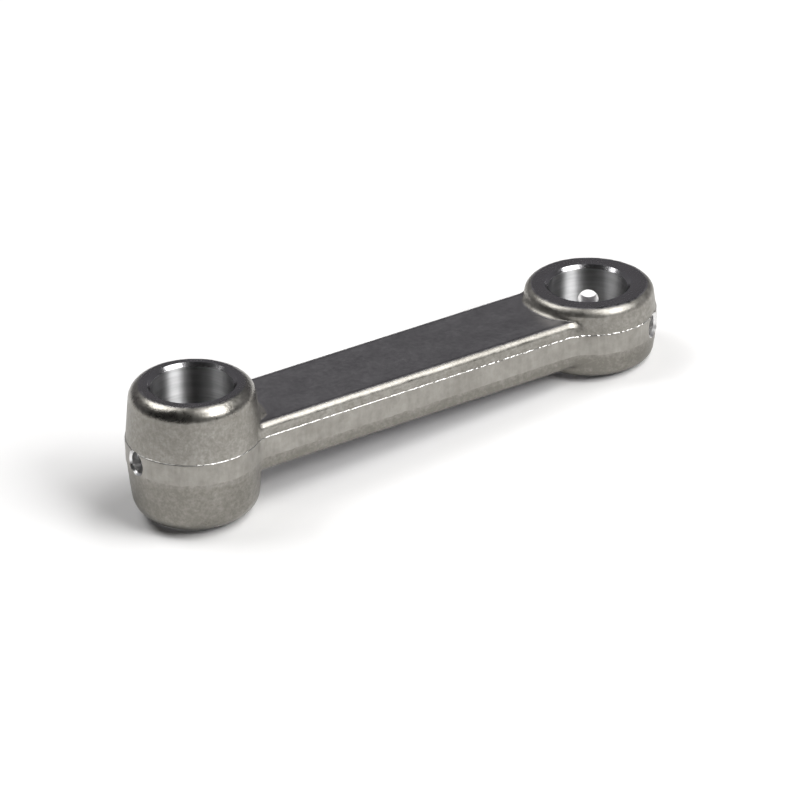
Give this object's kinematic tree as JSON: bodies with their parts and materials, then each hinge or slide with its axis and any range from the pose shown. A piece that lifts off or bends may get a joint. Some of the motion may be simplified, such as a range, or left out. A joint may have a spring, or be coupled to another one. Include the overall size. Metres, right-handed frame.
{
  "type": "connecting rod",
  "caption": "Straight connecting rod for a small engine: a forged light-alloy beam with a tall small-end eye and a flatter big-end eye, each with a plain bush and radial oil holes.",
  "frame": {"origin": "on the small-end bore axis, half way along the bore", "axes": "+X along the rod from the small-end bore to the big-end bore, +Z along both bores, out of the face with the higher trim land"},
  "size_m": [0.0452, 0.0104, 0.01],
  "materials": {
    "forging": "satin blasted skin on the forged sides, fine-machined end faces",
    "bush": "reamed, faint turning lines round the bore"
  },
  "bodies": {
    "root": {"rod_forging": "forging", "small_end_bush": "bush", "big_end_bush": "bush"}
  },
  "joints": []
}
